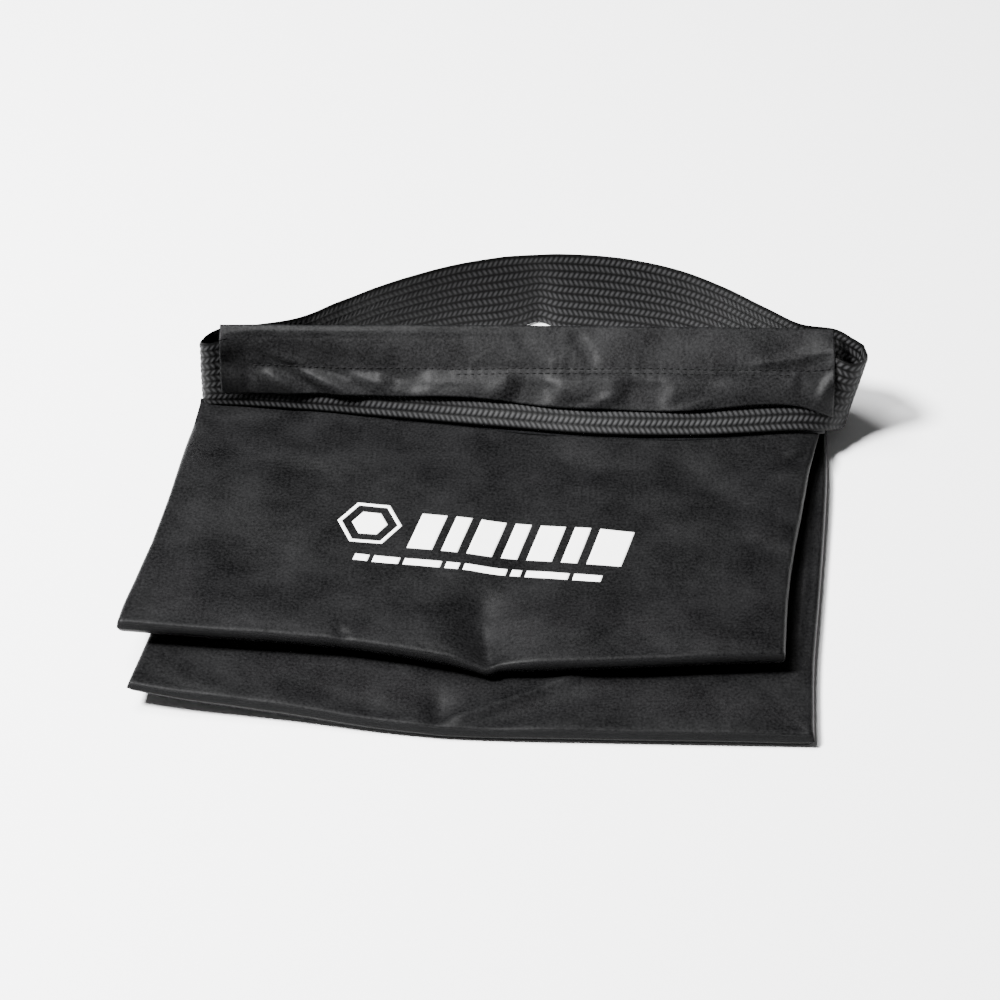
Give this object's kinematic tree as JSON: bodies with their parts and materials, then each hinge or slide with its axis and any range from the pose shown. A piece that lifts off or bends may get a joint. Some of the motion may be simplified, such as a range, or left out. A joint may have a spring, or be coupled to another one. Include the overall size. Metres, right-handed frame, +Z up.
{
  "type": "refillable saddle sandbag",
  "caption": "Empty refillable saddle sandbag for weighting light stands: flat nylon pouches folded together under a header, with a webbing carry loop.",
  "frame": {"origin": "middle of the footprint, on the floor that the bag lies on", "axes": "+Z up; +X along the header to the right; -Y the side that the pouches point to, +Y the side of the carry handle"},
  "size_m": [0.4082, 0.3438, 0.06],
  "materials": {
    "pouch_nylon": "black coated plain-weave nylon, slight sheen",
    "lining_nylon": "black nylon, matt side",
    "webbing": "black herringbone polypropylene webbing",
    "thread": "black polyester sewing thread and turned seam allowance",
    "hook_and_loop": "black hook-and-loop tape",
    "ink": "white screen-printing ink"
  },
  "bodies": {
    "saddle": {"rear_outer_panel": "pouch_nylon", "rear_inner_panel": "pouch_nylon", "rear_left_seam": "thread", "rear_right_seam": "thread", "rear_bottom_seam": "thread", "rear_mouth_hook_tape": "hook_and_loop", "rear_mouth_loop_tape": "hook_and_loop", "saddle_front_web": "lining_nylon", "saddle_rear_web": "lining_nylon", "header_front_panel": "pouch_nylon", "header_rear_panel": "pouch_nylon", "header_stitch_row": "thread", "header_stitch_row_short": "thread", "webbing_front_run": "webbing"},
    "front_pouch": {"front_outer_panel": "pouch_nylon", "front_inner_panel": "pouch_nylon", "front_left_seam": "thread", "front_right_seam": "thread", "front_bottom_seam": "thread", "front_mouth_hook_tape": "hook_and_loop", "front_mouth_loop_tape": "hook_and_loop", "printed_emblem": "ink", "printed_band": "ink", "printed_rule": "ink"},
    "handle": {"handle_webbing": "webbing"}
  },
  "joints": [
    {"name": "front_pouch_fold", "type": "hinge", "parent": "saddle", "child": "front_pouch", "pos_m": [0, 0.03613, 0.0245], "axis": [-1, 0, 0], "range_deg": [0, 110]},
    {"name": "handle_lift", "type": "hinge", "parent": "saddle", "child": "handle", "pos_m": [0, 0.09563, 0.058], "axis": [1, 0, 0], "range_deg": [0, 90]}
  ]
}
